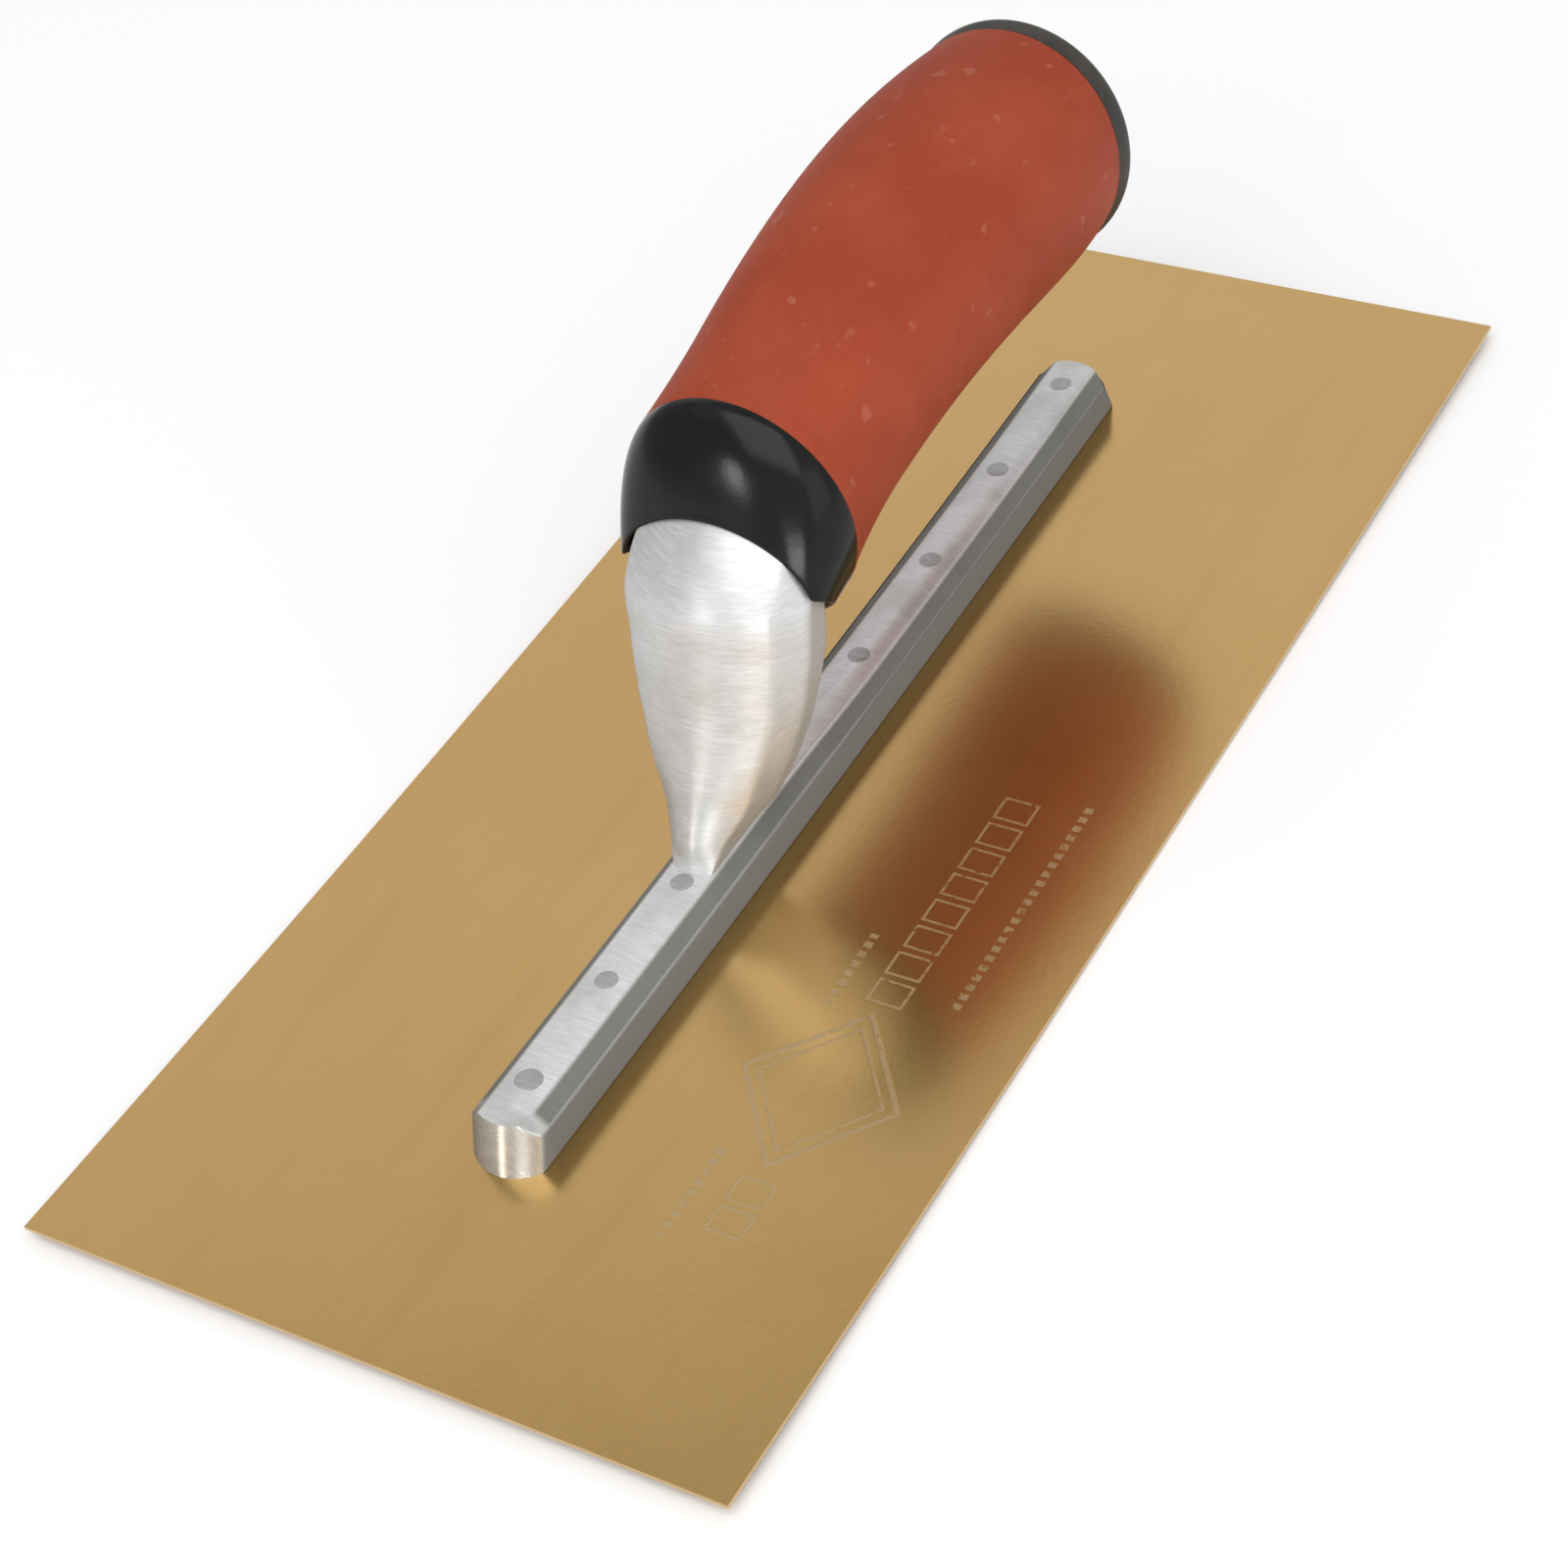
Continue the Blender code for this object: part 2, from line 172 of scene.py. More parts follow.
class Finish:
    """A material with its Principled shader, and one method that adds any other node."""

    def __init__(self, name, **constants):
        self.material = bpy.data.materials.new(name)
        self.material.use_nodes = True
        self.tree = self.material.node_tree
        self.shader = self.tree.nodes["Principled BSDF"]
        for socket, value in constants.items():
            self.shader.inputs[socket.replace("_", " ")].default_value = value

    def node(self, kind, settings, inputs, output=0):
        """Any node: its settings come first, then a value or a wire for each named or numbered input."""
        node = self.tree.nodes.new("ShaderNode" + kind)
        for key, value in settings.items():
            setattr(node, key, value)
        self.feed(node, inputs)
        return Wire(self, node.outputs[output])

    def feed(self, node, inputs):
        """Link each wire to its socket, or set the socket to the plain value."""
        for key, value in inputs.items():
            if isinstance(value, Wire):
                self.tree.links.new(value.socket, node.inputs[key])
            else:
                node.inputs[key].default_value = value

    def math(self, operation, *values):
        return self.node("Math", {"operation": operation}, dict(enumerate(values)))

    def coordinates(self, scale):
        """Object coordinates in metres, times scale along each axis."""
        where = self.node("TexCoord", {}, {}, output="Object")
        return self.node("Mapping", {}, {"Vector": where, "Scale": scale})

    def axes(self):
        """The three object coordinates as separate wires, in millimetres."""
        point = self.coordinates((1000, 1000, 1000))
        return [self.node("SeparateXYZ", {}, {"Vector": point}, output=i) for i in range(3)]

    def noise(self, scale, detail, roughness, stretch=(1, 1, 1)):
        inputs = {"Vector": self.coordinates(stretch), "Scale": scale}
        return self.node("TexNoise", {}, inputs | {"Detail": detail, "Roughness": roughness})

    def mix(self, mask, low, high):
        """Colour that goes from low to high as the mask goes from 0 to 1."""
        return self.node("Mix", {"data_type": "RGBA"}, {0: mask, 6: low, 7: high}, output=2)

    def bump(self, height, strength, distance):
        return self.node("Bump", {}, {"Height": height, "Strength": strength, "Distance": distance})

    def wire(self, **links):
        """Feed the shader's own sockets, which finishes the material."""
        self.feed(self.shader, {key.replace("_", " "): value for key, value in links.items()})
        return self.material


def grey(value):
    return (value, value, value, 1.0)


print("shader helpers ready")

# %% [markdown]
# ## The blade
# The blade is 0.7 mm spring steel, 11 by 5 inches, tempered to a straw gold. It isn't flat: it is
# rolled so that both ends rise about 2 mm, which keeps them from digging into wet plaster. A long
# bar whose thin section rides up and down that bow gives this, and its four long edges stay crisp.

# %% Blade surface
blade_low, blade_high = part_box("blade")
BLADE_LENGTH = blade_high.x - blade_low.x
BLADE_HALF_WIDTH = blade_high.y
BLADE_THICK = 0.7 * MM
BLADE_RISE = blade_high.z - BLADE_THICK


def bow(x):
    """Height of the blade's underside: a parabola that reaches BLADE_RISE at both ends."""
    return BLADE_RISE * (2 * x / BLADE_LENGTH) ** 2


def blade_grid(rows=141, across=41):
    """Section at x: out along the underside, back along the top, both lifted by bow(x)."""
    x = np.linspace(blade_low.x, blade_high.x, rows)[:, None]
    y = np.linspace(-1, 1, across) * BLADE_HALF_WIDTH
    ring_y = np.concatenate([y, y[::-1]])
    ring_z = np.concatenate([np.zeros(across), np.full(across, BLADE_THICK)])
    return np.stack(np.broadcast_arrays(x, ring_y, bow(x) + ring_z), axis=-1)


blade = skin("trowel_blade", capped(blade_grid()))

# %% [markdown]
# ## A pattern etched on the blade
# Blades carry an etched mark on one side. Here it is a plain pattern with no words: two runs of
# outlined cells, a double lozenge between them, and ruled ticks. Distances in millimetres from each
# shape's middle make the outlines, so no picture is needed and the lines stay sharp at any size.

# %% Etched pattern
CELL = 6.2
CELL_HALF_LENGTH = 2.55
CELL_HALF_HEIGHT = 3.2
CELL_ROW = 38.0
CELL_RUNS = ((0, 8), (14, 16))
LINE = 0.45
LOZENGE = (68.0, 37.5)
LOZENGE_HALF = (17.0, 14.0)
LOZENGE_LINES = ((0.93, 1.0), (0.76, 0.80))
TICK = 2.2
TICK_HEIGHT = 1.4
# Lower edge, start and end of each ruled line of ticks.
TICK_RULES = ((28.9, 36, 53), (28.9, 84, 102), (48.4, -2, 46))


def within(value, low, high, soft=0.1):
    """1 between low and high and 0 outside them, with soft edges."""
    return value.smooth(low - soft, low + soft) - value.smooth(high - soft, high + soft)


def etched_pattern(finish, x, y):
    """Cells where the nearer side is less than a line away, a lozenge where the sum of |dx| / half
    length and |dy| / half height lies in one of two bands below 1, and ruled ticks.
    """
    along = abs(((x / CELL).fract() - 0.5) * CELL)
    inside = (CELL_HALF_LENGTH - along).at_most(CELL_HALF_HEIGHT - abs(y - CELL_ROW))
    runs = sum(within(x, first * CELL, last * CELL) for first, last in CELL_RUNS)
    cells = within(inside, 0.0, LINE) * runs
    far = abs(x - LOZENGE[0]) / LOZENGE_HALF[0] + abs(y - LOZENGE[1]) / LOZENGE_HALF[1]
    lozenge = sum(within(far, low, high, 0.02) for low, high in LOZENGE_LINES)
    rules = sum(within(y, low, low + TICK_HEIGHT) * within(x, start, end)
                for low, start, end in TICK_RULES)
    ticks = rules * within((x / TICK).fract(), 0.2, 0.75, 0.08)
    worn = finish.noise(900, 2, 0.6).smooth(0.3, 0.5)
    return (cells + lozenge + ticks) * worn


print("etched pattern: cells of", CELL, "mm, a lozenge and", len(TICK_RULES), "rules of ticks")

# %% [markdown]
# ## The golden finish
# Straw-tempered steel is a warm metal: it colours what it mirrors, and its fine rolling marks blur
# it. So the shader is nearly all metal with a golden base, under a thin clear coat that stands for
# the oil on it. Faint clouds of a paler and a browner tint, a grain and hair-thin scuffs along the
# blade vary the colour, and the roughness follows the same clouds.

# %% Golden steel
GOLD = (0.585, 0.36, 0.108, 1)
PALE_GOLD = (0.615, 0.385, 0.125, 1)
DEEP_GOLD = (0.55, 0.33, 0.095, 1)
BROWN_GOLD = (0.50, 0.29, 0.072, 1)
SCUFFED_GOLD = (0.66, 0.52, 0.30, 1)
ETCHED_GOLD = (0.54, 0.45, 0.33, 1)


def golden_steel():
    finish = Finish("golden_steel", IOR=1.5, Metallic=0.93, Coat_Roughness=0.2, Coat_Weight=0.9)
    x, y, _ = finish.axes()
    clouds = finish.noise(28, 4, 0.55)
    drift = finish.noise(7, 2, 0.5)
    fine = finish.noise(900, 2, 0.6)
    grain = finish.noise(14, 3, 0.6, stretch=(1, 11, 11)).smooth(0.5, 0.8)
    scuffs = finish.noise(60, 3, 0.7, stretch=(1, 26, 26)).smooth(0.62, 0.8)
    etch = etched_pattern(finish, x, y)
    base = finish.mix(clouds.smooth(0.3, 0.7), GOLD, PALE_GOLD)
    base = finish.mix(drift.smooth(0.35, 0.7) * 0.5, base, DEEP_GOLD)
    base = finish.mix(grain * 0.35, base, BROWN_GOLD)
    base = finish.mix(scuffs * 0.10, base, SCUFFED_GOLD)
    base = finish.mix(etch * 0.45, base, ETCHED_GOLD)
    rough = 0.20 + clouds * 0.05 + scuffs * 0.04 + etch * 0.25
    height = fine * 0.6 + clouds * 0.5 - etch * 0.8
    return finish.wire(Base_Color=base, Roughness=rough, Normal=finish.bump(height, 0.12, 0.0002))


place(blade, golden_steel(), "blade", "blade")
print("blade finished")

# %% [markdown]
# ## The spine
# The spine stiffens the blade. It is a bar with a flat top, chamfered top edges and blunt rounded
# ends that lean back a little, so the casting leaves its mould. One ring of points describes the
# bar's section; the ends are made by never letting a point stand further out than a round outline.

# %% Spine section
SPINE_HALF = 6.7 * MM
SPINE_TOP_HALF = 3.8 * MM
SPINE_SHOULDER = 6.8 * MM
SPINE_TOP = 9.6 * MM
SPINE_TOE = 102.4 * MM
SPINE_HEEL = -101.5 * MM
END_RADIUS = 8.0 * MM
END_LEAN = 3.0 / 9.0
EDGE_RADIUS = 0.35 * MM


def rounded(corners, radius, steps=6):
    """Open polyline through the corners, each inner one replaced by a curve that cuts it by radius.

    The curve is the quadratic Bezier from one side's cut to the other's, pulled to the corner.
    """
    points = [corners[0]]
    for before, corner, after in zip(corners, corners[1:], corners[2:]):
        start = corner + radius * (before - corner) / np.linalg.norm(before - corner)
        end = corner + radius * (after - corner) / np.linalg.norm(after - corner)
        t = np.linspace(0, 1, steps)[:, None]
        points.extend((1 - t) ** 2 * start + 2 * t * (1 - t) * corner + t ** 2 * end)
    points.append(corners[-1])
    return np.array(points)


def resampled(points, spacing):
    """The polyline with extra points, so that no step is longer than spacing."""
    steps = np.linalg.norm(np.diff(points, axis=0), axis=1)
    walked = np.concatenate([[0], np.cumsum(steps)])
    wanted = np.union1d(np.linspace(0, walked[-1], int(walked[-1] / spacing) + 2), walked)
    return np.stack([np.interp(wanted, walked, points[:, i]) for i in range(points.shape[1])], axis=-1)


def spine_half_section():
    """Half of the section as (y, z), from the middle of the underside to the middle of the top."""
    corners = np.array([(0, BLADE_THICK), (SPINE_HALF, BLADE_THICK), (SPINE_HALF, SPINE_SHOULDER),
                        (SPINE_TOP_HALF, SPINE_TOP), (0, SPINE_TOP)])
    return resampled(rounded(corners, EDGE_RADIUS), 0.45 * MM)


section = spine_half_section()
print("spine section:", len(section), "points on each side")

# %% [markdown]
# ## The spine's worn top
# The top was ground after casting, and the belt took more off behind the shank, where it also
# rounded the edges. So each point of the upper section is lowered towards a crown by a share that
# rises smoothly behind the shank. Everything then rides up and down the blade's bow.

# %% Spine surface
CROWN_POWER = 2.4
CROWN_SHARE = 0.8
REAR_DROP = 0.7 * MM
REAR_FADE = (-20 * MM, 15 * MM)
HEEL_FADE = (-92 * MM, -70 * MM)
END_ROWS = 40
MIDDLE_ROWS = 180


def ease(value, low, high):
    """0 at low, 1 at high, and 3t^2 - 2t^3 between them."""
    t = np.clip((value - low) / (high - low), 0, 1)
    return t * t * (3 - 2 * t)


def top_height(x, y, z):
    """Height of a point of the upper section once the belt has been over it.

    Behind the shank the top is lower and crowned: z = top - (top - shoulder) |y / half|^p.
    """
    upper = z > SPINE_SHOULDER - EDGE_RADIUS
    crown = SPINE_TOP - (SPINE_TOP - SPINE_SHOULDER) * (np.abs(y) / SPINE_HALF) ** CROWN_POWER
    rear = ease(-x, *REAR_FADE)
    worn = z + (crown - z) * rear * ease(x, *HEEL_FADE) * CROWN_SHARE - REAR_DROP * rear
    return np.where(upper, worn, z)


def spine_grid():
    """Rows walk round one end (an angle from -90 to 0), along the bar, and round the other end.

    At an end, a point stands at centre + R sin(angle) along the bar and no further out than
    R cos(angle). The centres move back with height, which makes the ends lean.
    """
    turn = np.linspace(0, 90, END_ROWS)
    angles = np.radians(np.concatenate([turn - 90, np.zeros(MIDDLE_ROWS), turn]))
    middle = np.linspace(0, 1, MIDDLE_ROWS + 2)[1:-1]
    share = np.concatenate([np.zeros(END_ROWS), middle, np.ones(END_ROWS)])[:, None]
    y, z = section.T
    lean = END_LEAN * z
    heel = SPINE_HEEL + END_RADIUS + lean
    toe = SPINE_TOE - END_RADIUS - lean
    x = heel + (toe - heel) * share + END_RADIUS * np.sin(angles)[:, None]
    limit = END_RADIUS * np.cos(angles)[:, None]
    z = top_height(x, y, z + 0 * x) + bow(x)
    y = np.minimum(y, limit)
    half = np.stack([x, y, z], axis=-1)
    mirrored = half[:, ::-1][:, 1:-1] * (1, -1, 1)
    return np.concatenate([half, mirrored], axis=1)


spine = skin("mounting_spine", spine_grid(), crease=28)

# %% [markdown]
# ## The shank
# The shank is a goose neck: round in front, where it is ground smooth, with squarer flanks and a
# flat back above the fingers. A few sections describe it, each with its place, lean, width and
# reach, and a smooth curve through them gives the rows between. At its foot it flares into the
# spine's top, and its upper end carries on as the spigot inside the handle.

# %% Shank sections
SHANK_KEYS = np.array([
    # x, z, lean; half width; reach of the front, crease share of the width, reach of the crease and
    # of the edge; reach of the back's corner and of its middle. Degrees, shares and millimetres.
    (31.5, 8.0, 0, 3.60, 10.0, 1.00, 8.6, 0.0, -8.2, -9.0),
    (31.5, 9.5, 0, 3.80, 10.3, 1.00, 9.4, 0.0, -8.2, -9.2),
    (31.5, 9.9, 2, 4.00, 10.1, 1.00, 9.1, 0.0, -7.6, -8.6),
    (31.5, 10.6, 6, 4.35, 9.6, 1.00, 8.3, 0.0, -7.0, -7.8),
    (31.4, 12.2, 14, 5.10, 9.3, 1.00, 6.8, -0.8, -6.0, -6.5),
    (29.3, 16.0, 22, 7.7, 9.5, 0.97, 5.5, -1.5, -5.6, -6.2),
    (27.9, 19.9, 22, 9.9, 9.4, 0.90, 5.7, -1.0, -5.5, -6.3),
    (26.4, 23.9, 22, 12.0, 9.4, 0.85, 6.0, -0.3, -5.0, -6.4),
    (24.5, 28.6, 20, 13.7, 9.7, 0.83, 6.1, 0.2, -5.0, -6.8),
    (22.6, 33.4, 18, 15.1, 10.1, 0.82, 6.4, 0.7, -5.0, -7.2),
    (20.0, 42.3, 16, 16.3, 10.6, 0.81, 6.6, 0.8, -6.2, -8.6),
    (16.9, 51.0, 20, 16.6, 11.0, 0.82, 7.3, 1.6, -5.0, -7.2),
    (9.6, 57.8, 42, 15.6, 9.6, 0.82, 6.4, 1.5, -5.0, -8.0),
    (-2.0, 61.6, 72, 12.0, 9.4, 0.80, 6.2, 2.0, -5.0, -9.2),
    (-14.0, 64.8, 86, 9.6, 9.0, 0.75, 5.8, 2.0, -5.0, -9.0),
    (-36.0, 66.2, 90, 8.4, 8.4, 0.72, 5.6, 2.0, -4.5, -8.4),
])


def through_keys(keys, between):
    """Rows on a Catmull-Rom curve through the key rows: between of them for each step."""
    ends = np.vstack([2 * keys[0] - keys[1], keys, 2 * keys[-1] - keys[-2]])
    a, b, c, d = (ends[i:len(ends) - 3 + i, None] for i in range(4))
    t = (np.arange(between) / between)[None, :, None]
    rows = 0.5 * (2 * b + (c - a) * t + (2 * a - 5 * b + 4 * c - d) * t ** 2
                  + (3 * b - a - 3 * c + d) * t ** 3)
    return np.vstack([rows.reshape(-1, keys.shape[1]), keys[-1:]])


def shank_grid(between=9, easing=8):
    """Half a section runs from the front's middle to the back's middle, and its mirror closes it.

    Front: reach falls with the square of the width, as far as the crease. Then straight to the edge,
    straight back to the corner, and a back that bulges with the fourth power. Averaging every point
    with its neighbours, several times, rounds the corners between them.
    """
    keys = through_keys(SHANK_KEYS, between).T[:, :, None]
    x, z, lean, half, front, share, crease, edge, corner, back = keys
    u = np.linspace(0, 1, 42)
    v = np.linspace(0, 1, 20)[1:]
    w = np.linspace(1, 0, 46)[1:]
    same = np.ones_like(share)
    width = half * np.concatenate([share * u, share + (1 - share) * v,
                                   same * (1 - 0.05 * v), same * 0.95 * w], axis=1)
    depth = np.concatenate([front + (crease - front) * u ** 2, crease + (edge - crease) * v,
                            edge + (corner - edge) * v, back + (corner - back) * w ** 4], axis=1)
    width = np.concatenate([width, -width[:, ::-1][:, 1:-1]], axis=1)
    depth = np.concatenate([depth, depth[:, ::-1][:, 1:-1]], axis=1)
    for _ in range(easing):
        width = (np.roll(width, 1, 1) + 2 * width + np.roll(width, -1, 1)) / 4
        depth = (np.roll(depth, 1, 1) + 2 * depth + np.roll(depth, -1, 1)) / 4
    lean = np.radians(lean)
    points = np.stack([x + depth * np.cos(lean), width, z + depth * np.sin(lean)], axis=-1)
    return points * MM


shank = skin("mounting_shank", capped(shank_grid()), crease=50)

# %% [markdown]
# ## Ground aluminium
# Castings like this are ground on a belt. The belt runs across the piece, so it leaves fine
# transverse scratches, which smear each highlight along the piece. Noise that is stretched across
# the piece and very fine along it gives both: a bump for the scratches and a slight change of tone.
# A dark edge tint keeps grazing views from turning as bright as a mirror.

# %% Ground aluminium
DULL_ALUMINIUM = (0.54, 0.55, 0.52, 1)
# Painted shade for the spine's sloped chamfers.
CHAMFER_PAINTED_SHADE = (0.13, 0.13, 0.115, 1)
CAST_SIDE = (0.25, 0.255, 0.25, 1)
# Painted shade that darkens the spine's nose.
NOSE_PAINTED_SHADE = (0.38, 0.38, 0.36, 1)
EDGE_TINT = (0.35, 0.35, 0.35, 1)
# Millimetres from the middle over which the spine's top ends, its side begins, the painted shade on its
# chamfers ends and its nose begins.
TOP_EDGE = (3.9, 4.5)
SIDE_EDGE = (6.2, 6.65)
CHAMFER_SHADE_END = (94, 96)
NOSE_EDGE = (95, 97)


def ground_aluminium(name, stretch, tones, cast_sides=False):
    """Brushed metal between two grey tones; the spine keeps the dull skin of the mould on its sides, with
    painted shade on its chamfers and nose.
    """
    finish = Finish(name, Anisotropic=0.6, Anisotropic_Rotation=0.25, Specular_Tint=EDGE_TINT)
    x, y, _ = finish.axes()
    scratches = finish.noise(1.0, 3, 0.65, stretch=stretch)
    coarse = finish.noise(0.35, 2, 0.6, stretch=stretch)
    cloud = finish.noise(90, 3, 0.6)
    base = finish.mix(scratches.smooth(0.35, 0.7), *map(grey, tones))
    base = finish.mix(cloud.smooth(0.45, 0.7) * 0.5, base, DULL_ALUMINIUM)
    rough = 0.34 + cloud * 0.08 + scratches * 0.06
    metal = 0.62
    height = scratches + coarse * 0.8
    if cast_sides:
        sandy = finish.noise(1400, 3, 0.6)
        side = abs(y).smooth(*SIDE_EDGE)
        # The chamfer mask paints shade onto the sloped faces, and the painted shade stops short of the
        # nose.
        shaded_chamfer = (abs(y).smooth(*TOP_EDGE) - side) * (1 - x.smooth(*CHAMFER_SHADE_END))
        nose = x.smooth(*NOSE_EDGE)
        base = finish.mix(shaded_chamfer * 0.85, base, CHAMFER_PAINTED_SHADE)
        base = finish.mix(side, base, CAST_SIDE)
        # The nose is darkened a quarter of the way towards a grey: painted shade.
        base = finish.mix(nose * 0.25, base, NOSE_PAINTED_SHADE)
        rough = rough + side * 0.25 + shaded_chamfer * 0.2 - nose * 0.14
        metal = 0.75 - side * 0.45 - shaded_chamfer * 0.4
        height = height * (1 - side) + sandy * side
    normal = finish.bump(height, 0.35, 0.0001)
    return finish.wire(Base_Color=base, Roughness=rough, Metallic=metal, Normal=normal)


ground_spine = ground_aluminium("ground_spine", (3200, 260, 260), (0.71, 0.83), cast_sides=True)
# The shank is the same ground casting as the spine; its darker pair of tones is painted shade.
ground_shank_painted_shade = ground_aluminium("ground_shank_painted_shade", (260, 260, 3200), (0.60, 0.72))
place(spine, ground_spine, "casting", "mounting")
place(shank, ground_shank_painted_shade, "casting", "mounting")
print("casting finished:", ground_spine.name, "and", ground_shank_painted_shade.name)

# %% [markdown]
# ## Rivets
# Seven rivets hold the blade. Their heads are countersunk and ground flush on both sides, so all
# that shows is a disc of darker steel. Each one is a profile turned about the vertical, set at the
# height of the worn top over it.

# %% Rivets
HEAD_RADIUS = 2.6 * MM
PIN_RADIUS = 1.5 * MM
TOP_RADIUS = 1.95 * MM
TOE_TOP_RADIUS = 2.35 * MM


def turned(profile, centre, columns=48):
    """Grid of a profile of (radius, height) turned about the vertical through centre."""
    radius, height = np.array(profile).T[:, :, None]
    angle = np.linspace(0, 2 * np.pi, columns, endpoint=False)
    points = np.stack([radius * np.cos(angle), radius * np.sin(angle), height + 0 * angle], axis=-1)
    return points + np.array(centre)


def rivet_steel():
    finish = Finish("rivet_steel", Metallic=1.0)
    grain = finish.noise(1.0, 3, 0.6, stretch=(2600, 300, 300))
    cloud = finish.noise(500, 3, 0.6)
    base = finish.mix(grain.smooth(0.3, 0.7), grey(0.44), grey(0.55))
    rough = 0.45 + cloud * 0.15
    return finish.wire(Base_Color=base, Roughness=rough, Normal=finish.bump(grain, 0.3, 0.0001))


def rivet_profile(low, top, top_radius):
    """(radius, height) from the underside: countersunk head, shank, and a flared upper end."""
    return [(HEAD_RADIUS, low - 0.01 * MM), (HEAD_RADIUS, low + 0.15 * MM), (PIN_RADIUS, low + 1.6 * MM),
            (PIN_RADIUS, top - 1.4 * MM), (top_radius, top - 0.25 * MM), (top_radius, top - 0.03 * MM),
            (top_radius - 0.08 * MM, top), (top_radius * 0.5, top + 0.01 * MM)]


rivet_finish = rivet_steel()
for number in range(1, 8):
    low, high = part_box(f"rivet_{number}")
    x = (low.x + high.x) / 2
    ground = float(top_height(np.array(x), np.zeros(1), np.array(SPINE_TOP))[0])
    top_radius = TOE_TOP_RADIUS if number == 7 else TOP_RADIUS
    profile = rivet_profile(bow(x), ground + bow(x) + 0.03 * MM, top_radius)
    rivet = skin(f"rivet_{number}_turned", capped(turned(profile, (x, 0, 0))))
    place(rivet, rivet_finish, "rivets", f"rivet_{number}")

# %% [markdown]
# ## The handle's line
# The handle arches over the knuckles like a camel's back. One Bezier curve in the plane y = 0 is its
# axis, and a cubic gives its radius along that curve. Its rings start upright at the collar and
# lean by ten degrees at the butt.

# %% Handle rings
HANDLE_AXIS = np.array([(8.0, 0, 59.3), (-39.6, 0, 73.5), (-66.4, 0, 66.5), (-85.3, 0, 65.4)]) * MM
HANDLE_RADII = np.array([19.0, 20.75, 21.85, 20.8]) * MM
FLARE = 1.3 * MM
FLARE_END = 0.14
BUTT_TILT = math.radians(10)
GRIP_WALL = 2.6 * MM
GRIP_RIM = 0.5 * MM


def axis_at(t):
    """Cubic Bezier curve through the axis's first and last points."""
    t = np.asarray(t, float)[..., None]
    a, b, c, d = HANDLE_AXIS
    return a * (1 - t) ** 3 + 3 * b * t * (1 - t) ** 2 + 3 * c * t ** 2 * (1 - t) + d * t ** 3


def radius_at(t):
    """Cubic through the four radii at t = 0, 1/3, 2/3 and 1, plus a short flare at the collar."""
    cubic = np.polyfit(np.linspace(0, 1, 4), HANDLE_RADII, 3)
    return np.polyval(cubic, t) + FLARE * np.maximum(0, 1 - t / FLARE_END) ** 2


def rings(t, radius, shift=0.0, columns=144):
    """Round rings about the axis at t, moved back along the butt's direction by shift."""
    t, radius, shift = np.broadcast_arrays(t, radius, shift)
    tilt = BUTT_TILT * t ** 3
    level = np.zeros_like(tilt)
    back = np.stack([-np.cos(tilt), level, -np.sin(tilt)], axis=-1)[:, None]
    up = np.stack([-np.sin(tilt), level, np.cos(tilt)], axis=-1)[:, None]
    angle = np.linspace(0, 2 * np.pi, columns, endpoint=False)[None, :, None]
    spoke = np.array([0, 1, 0]) * np.cos(angle) + up * np.sin(angle)
    return axis_at(t)[:, None] + back * shift[:, None, None] + spoke * radius[:, None, None]


steps = np.diff(axis_at(np.linspace(0, 1, 50)), axis=0)
print(f"handle length along its axis: {np.linalg.norm(steps, axis=1).sum():.4f} m")

# %% [markdown]
# ## The grip
# The grip is soft rubber moulded over a rigid core, about 42 mm thick where the palm rests. Both
# of its ends are slightly rounded where they meet the harder plastic.

# %% Grip surface
def grip_grid():
    """Outer wall from collar to butt with rounded rims, then the inner wall back again."""
    turn = np.radians(np.linspace(0, 90, 6))
    body = np.linspace(0.006, 0.994, 150)
    inside = body[::-6]
    t = np.concatenate([np.zeros(6), body, np.ones(6), inside])
    radius = np.concatenate([radius_at(0.0) - GRIP_RIM * (1 - np.sin(turn)), radius_at(body),
                             radius_at(1.0) - GRIP_RIM * (1 - np.cos(turn)), radius_at(inside) - GRIP_WALL])
    shift = np.concatenate([GRIP_RIM * (1 - np.cos(turn)), np.zeros_like(body),
                            GRIP_RIM * (np.sin(turn) - 1), np.zeros_like(inside)])
    return rings(t, radius, shift)


grip = skin("grip_rubber", grip_grid(), loop=True, crease=40)

# %% [markdown]
# ## Red rubber
# Soft rubber scatters light under a dull skin. Its red drifts between two tones, pale dust sticks
# to it in specks, and a fine pebbled bump breaks up what little gloss it has.

# %% Red rubber
RED = (0.295, 0.038, 0.010, 1)
PALE_RED = (0.345, 0.054, 0.019, 1)
DUSTY_RED = (0.50, 0.20, 0.14, 1)


def soft_rubber():
    finish = Finish("red_rubber", Metallic=0.0, Specular_IOR_Level=0.3)
    specks = finish.noise(700, 2, 0.6)
    patches = finish.noise(45, 4, 0.6)
    dust = finish.noise(300, 1, 0.5).smooth(0.68, 0.76)
    base = finish.mix(patches.smooth(0.35, 0.7), RED, PALE_RED)
    base = finish.mix(dust * 0.25, base, DUSTY_RED)
    rough = 0.58 + patches * 0.12
    return finish.wire(Base_Color=base, Roughness=rough, Normal=finish.bump(specks, 0.25, 0.00015))


place(grip, soft_rubber(), "grip", "grip_sleeve")
print("grip finished")

# %% [markdown]
# ## The collar
# The bare front of the core is a glossy black collar. It narrows from the round grip to an arch over
# the shank, like a hood, and its lower edge runs back under the handle. Its top, sides and bottom
# each follow their own power curve, and the lower edge is found where each line of the hood meets
# a curve that falls away under the handle.

